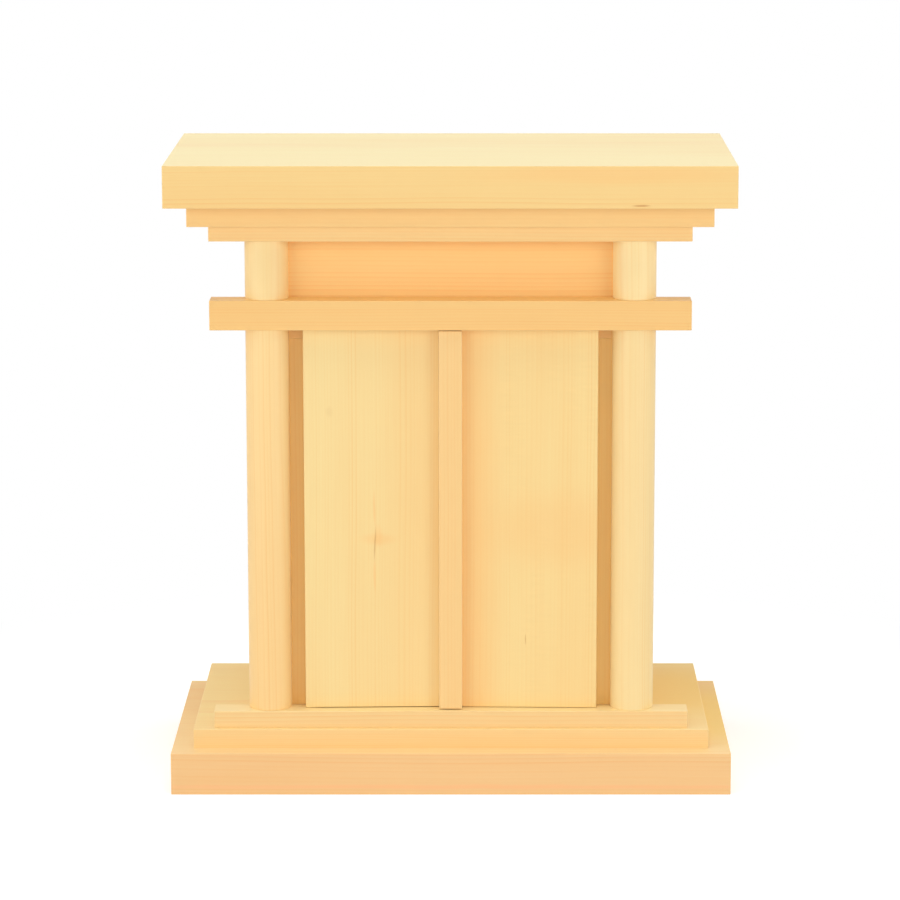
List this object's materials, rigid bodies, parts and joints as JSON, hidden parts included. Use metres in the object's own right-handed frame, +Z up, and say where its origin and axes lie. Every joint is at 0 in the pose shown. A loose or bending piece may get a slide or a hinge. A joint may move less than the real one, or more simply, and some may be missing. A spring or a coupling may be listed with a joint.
{
  "type": "tabletop ancestral shrine cabinet",
  "caption": "Plain pale wood shrine cabinet on a stepped base, with round columns, a cross beam, a stepped slab roof and a pair of pivoted doors.",
  "frame": {"origin": "middle of the underside of the base slab", "axes": "+Z up, +X to the viewer's right, the doors face -Y"},
  "size_m": [0.39, 0.205, 0.44],
  "materials": {
    "slab_wood": "planed bare cypress, satin",
    "step_wood": "planed bare cypress, satin",
    "rail_wood": "planed bare cypress, satin",
    "column_wood": "turned bare cypress, satin",
    "frame_wood": "planed bare cypress, satin",
    "cabinet_wood": "planed bare cypress, satin",
    "door_wood": "planed bare cypress, satin",
    "strip_wood": "planed bare cypress, satin"
  },
  "bodies": {
    "carcass": {"base_slab": "slab_wood", "base_step": "step_wood", "sill_rail": "rail_wood", "cabinet_floor": "cabinet_wood", "left_side_wall": "cabinet_wood", "right_side_wall": "cabinet_wood", "back_panel": "cabinet_wood", "left_front_stile": "frame_wood", "right_front_stile": "frame_wood", "left_lower_column": "column_wood", "right_lower_column": "column_wood", "cross_beam": "rail_wood", "left_upper_column": "column_wood", "right_upper_column": "column_wood", "lintel_panel": "frame_wood", "lower_eave_board": "step_wood", "upper_eave_board": "step_wood", "roof_slab": "slab_wood"},
    "left_door": {"left_pivot_stile": "door_wood", "left_door_leaf": "door_wood"},
    "right_door": {"right_pivot_stile": "door_wood", "right_door_leaf": "door_wood", "door_cover_strip": "strip_wood"}
  },
  "joints": [
    {"name": "left_door_swing", "type": "hinge", "parent": "carcass", "child": "left_door", "pos_m": [-0.09825, -0.07075, 0.18975], "axis": [0, 0, -1], "range_deg": [0, 120]},
    {"name": "right_door_swing", "type": "hinge", "parent": "carcass", "child": "right_door", "pos_m": [0.09825, -0.07075, 0.18975], "axis": [0, 0, 1], "range_deg": [0, 120]}
  ]
}
